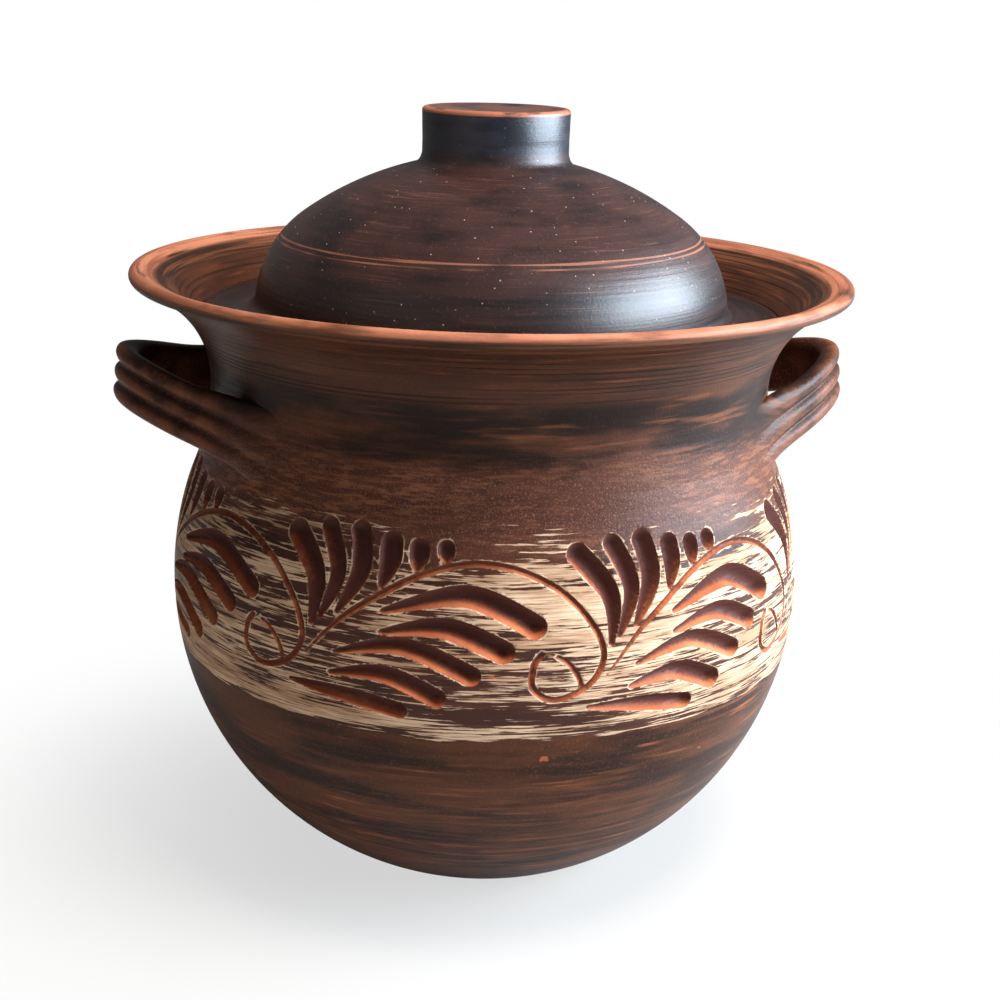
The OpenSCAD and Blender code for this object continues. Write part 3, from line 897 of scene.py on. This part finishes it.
def lid_clay(name):
    m = Clay(name, 0.38, 0.5, lean=-0.6)
    soft = m.streaks(0.06, 0.005, 3, 4.0)
    hair = m.streaks(0.05, 0.0007, 4, 12.0)
    patch = m.grain(0.025, 4)
    dust = m.grain(0.001, 2)
    base = m.mix(m.ramp(soft, 0.36, 0.66), colour(24, 16, 16), colour(44, 28, 25))
    warm = m.times(m.between(m.z, (0.206, 0.216), (0.243, 0.236)), m.ramp(patch, 0.36, 0.62))
    base = m.mix(m.times(warm, 0.5), base, colour(62, 38, 33))
    worn = m.times(m.ramp(m.streaks(0.05, 0.00045, 4, 12.0), 0.58, 0.66), m.ramp(patch, 0.46, 0.6))
    worn = m.times(worn, m.ramp(m.z, 0.243, 0.241))
    base = m.mix(m.times(worn, 0.24), base, colour(134, 88, 70))
    tilt = m.sum("ADD", m.z, m.sum("ADD", m.times(m.x, -0.012), m.times(hair, 0.0012)))
    for place, gap in LID_RINGS:
        ring = m.times(m.ramp(tilt, place - 0.0002, place), m.ramp(tilt, place + 0.0004, place + 0.0002))
        ring = m.times(ring, m.ramp(m.streaks(0.05, 0.02, 2, 70 * place), gap, gap + 0.16))
        base = m.mix(m.times(ring, 0.6), base, colour(150, 96, 74))
    base = m.mix(m.times(m.ramp(dust, 0.6, 0.74), 0.35), base, colour(84, 60, 53))
    base = m.mix(m.times(m.specks(0.0019, 0.14), 0.6), base, colour(186, 160, 142))
    # the knob: near-black clay with a blue tint, which is a painted sheen of the bluish window lamp
    knob = m.times(m.ramp(m.z, *KNOB_SIDE), 0.75)
    base = m.mix(knob, base, m.mix(m.ramp(soft, 0.4, 0.6), colour(16, 21, 31), colour(28, 32, 43)))
    top = m.times(m.ramp(m.z, *KNOB_TOP), m.ramp(patch, 0.3, 0.5))
    base = m.mix(m.times(top, 0.6), base, colour(104, 64, 48))
    edge = m.times(m.ramp(m.z, *KNOB_EDGE), m.ramp(m.radius, 0.0222, 0.0228), m.ramp(soft, 0.34, 0.46))
    base = m.mix(m.times(edge, 0.7), base, colour(166, 100, 72))
    m.link(base, m.shader.inputs["Base Color"])
    m.link(m.sum("ADD", 0.34, m.times(soft, 0.12)), m.shader.inputs["Roughness"])
    height = m.sum("ADD", m.times(m.streaks(0.4, 0.002, 3, 3.0), 0.4), m.times(dust, 0.16))
    m.link(m.bump(height, 0.0007, 0.4), m.shader.inputs["Normal"])
    return m.material


turned_lid.data.materials.append(lid_clay("burnished slip"))
print("materials:", [m.name for m in bpy.data.materials])

# %% [markdown]
# ## Fit the pieces to the frame
#
# Pot and lid have no joint, so every piece rides on the one body. Four
# pieces together stand for the CAD pot, and one stands for the lid: the
# plain solids are hidden, and stay in use for collision.

# %% Ride and replace
for piece in (pot_wall, carved_band, left_handle, right_handle):
    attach(piece, "root")
    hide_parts("pot")
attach(turned_lid, "root")
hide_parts("lid")
print("pieces:", [p.name for p in (pot_wall, carved_band, left_handle, right_handle, turned_lid)])

# %% [markdown]
# ## Floor, backdrop and light
#
# The photograph has a plain white ground. Stronger lamps would make the floor
# white, but bleach the clay too. So the world and the floor are white only
# to the camera and, in part, to reflections. Close round the foot the floor's
# own lit colour is mixed in, so that the pot's soft shadow stays. A large
# bluish window lights the pot from the right and a warm light falls steeply
# from above, as in the photograph, and leaves the upper walls of the cuts
# dark.

# %% White ground that keeps a shadow
GLOSSY_SHARE = 0.12


def shown(tree):
    """1 for rays from the camera or through glass, and a share of it for reflections."""
    path = tree.nodes.new("ShaderNodeLightPath")
    most = path.outputs["Is Camera Ray"]
    for name, part in (("Is Transmission Ray", 1.0), ("Is Glossy Ray", GLOSSY_SHARE)):
        weigh = tree.nodes.new("ShaderNodeMath")
        weigh.operation = "MULTIPLY"
        weigh.inputs[1].default_value = part
        tree.links.new(path.outputs[name], weigh.inputs[0])
        join = tree.nodes.new("ShaderNodeMath")
        join.operation = "MAXIMUM"
        tree.links.new(most, join.inputs[0])
        tree.links.new(weigh.outputs[0], join.inputs[1])
        most = join.outputs[0]
    return most


print("share of the white in reflections:", GLOSSY_SHARE)

# %% The floor
FLOOR_HALF = 6  # metres from the middle to an edge

bm = bmesh.new()
bmesh.ops.create_grid(bm, x_segments=1, y_segments=1, size=FLOOR_HALF)
floor = finished("floor", bm)
floor_paint = bpy.data.materials.new("floor paint")
floor_paint.use_nodes = True
tree = floor_paint.node_tree
paint = tree.nodes["Principled BSDF"]
paint.inputs["Base Color"].default_value = (0.42, 0.4, 0.38, 1)
paint.inputs["Roughness"].default_value = 0.9
glow = tree.nodes.new("ShaderNodeEmission")
glow.inputs["Color"].default_value = (1, 1, 1, 1)
spot = tree.nodes.new("ShaderNodeVectorMath")
spot.operation = "LENGTH"
tree.links.new(tree.nodes.new("ShaderNodeTexCoord").outputs["Object"], spot.inputs[0])
away = tree.nodes.new("ShaderNodeMapRange")
away.interpolation_type = "SMOOTHSTEP"
tree.links.new(spot.outputs["Value"], away.inputs["Value"])
for socket, value in (("From Min", 0.06), ("From Max", 0.25), ("To Min", 0.64), ("To Max", 1.0)):
    away.inputs[socket].default_value = value
share = tree.nodes.new("ShaderNodeMath")
share.operation = "MULTIPLY"
tree.links.new(shown(tree), share.inputs[0])
tree.links.new(away.outputs[0], share.inputs[1])
blend = tree.nodes.new("ShaderNodeMixShader")
tree.links.new(share.outputs[0], blend.inputs[0])
tree.links.new(paint.outputs[0], blend.inputs[1])
tree.links.new(glow.outputs[0], blend.inputs[2])
tree.links.new(blend.outputs[0], tree.nodes["Material Output"].inputs[0])
floor.data.materials.append(floor_paint)
print("floor", 2 * FLOOR_HALF, "m wide")

# %% The world
world = bpy.data.worlds.new("studio")
bpy.context.scene.world = world
world.use_nodes = True
tree = world.node_tree
tree.nodes.clear()
soft = tree.nodes.new("ShaderNodeBackground")
soft.inputs["Color"].default_value = (0.92, 0.95, 1.0, 1)
soft.inputs["Strength"].default_value = 0.08
white = tree.nodes.new("ShaderNodeBackground")
white.inputs["Color"].default_value = (1, 1, 1, 1)
pick = tree.nodes.new("ShaderNodeMixShader")
end = tree.nodes.new("ShaderNodeOutputWorld")
tree.links.new(shown(tree), pick.inputs[0])
tree.links.new(soft.outputs[0], pick.inputs[1])
tree.links.new(white.outputs[0], pick.inputs[2])
tree.links.new(pick.outputs[0], end.inputs[0])
print("white ground ready")


# %% Lamps
def lamp(name, place, aim, size, power, tint=(1, 1, 1), glossy=True):
    """A soft square lamp that looks at a point, with or without a highlight."""
    data = bpy.data.lights.new(name, "AREA")
    data.shape = "RECTANGLE"
    data.size, data.size_y = size
    data.energy = power
    data.color = tint
    obj = bpy.data.objects.new(name, data)
    bpy.context.scene.collection.objects.link(obj)
    obj.location = place
    obj.rotation_euler = (Vector(aim) - Vector(place)).to_track_quat("-Z", "Y").to_euler()
    obj.visible_glossy = glossy


lamp("window", (0.93, -0.28, 0.46), (0, 0, 0.14), (0.95, 0.6), 50, (0.72, 0.86, 1.0))
lamp("above", (0.2, -0.32, 1.2), (0, 0, 0.1), (0.45, 0.45), 24, (1.0, 0.93, 0.86), glossy=False)
lamp("fill", (-0.9, -0.6, 0.45), (0, 0, 0.12), (0.9, 0.9), 0.8, (1.0, 0.95, 0.9))
bpy.context.scene.view_settings.view_transform = "Standard"
print("lamps:", [light.name for light in bpy.data.lights])
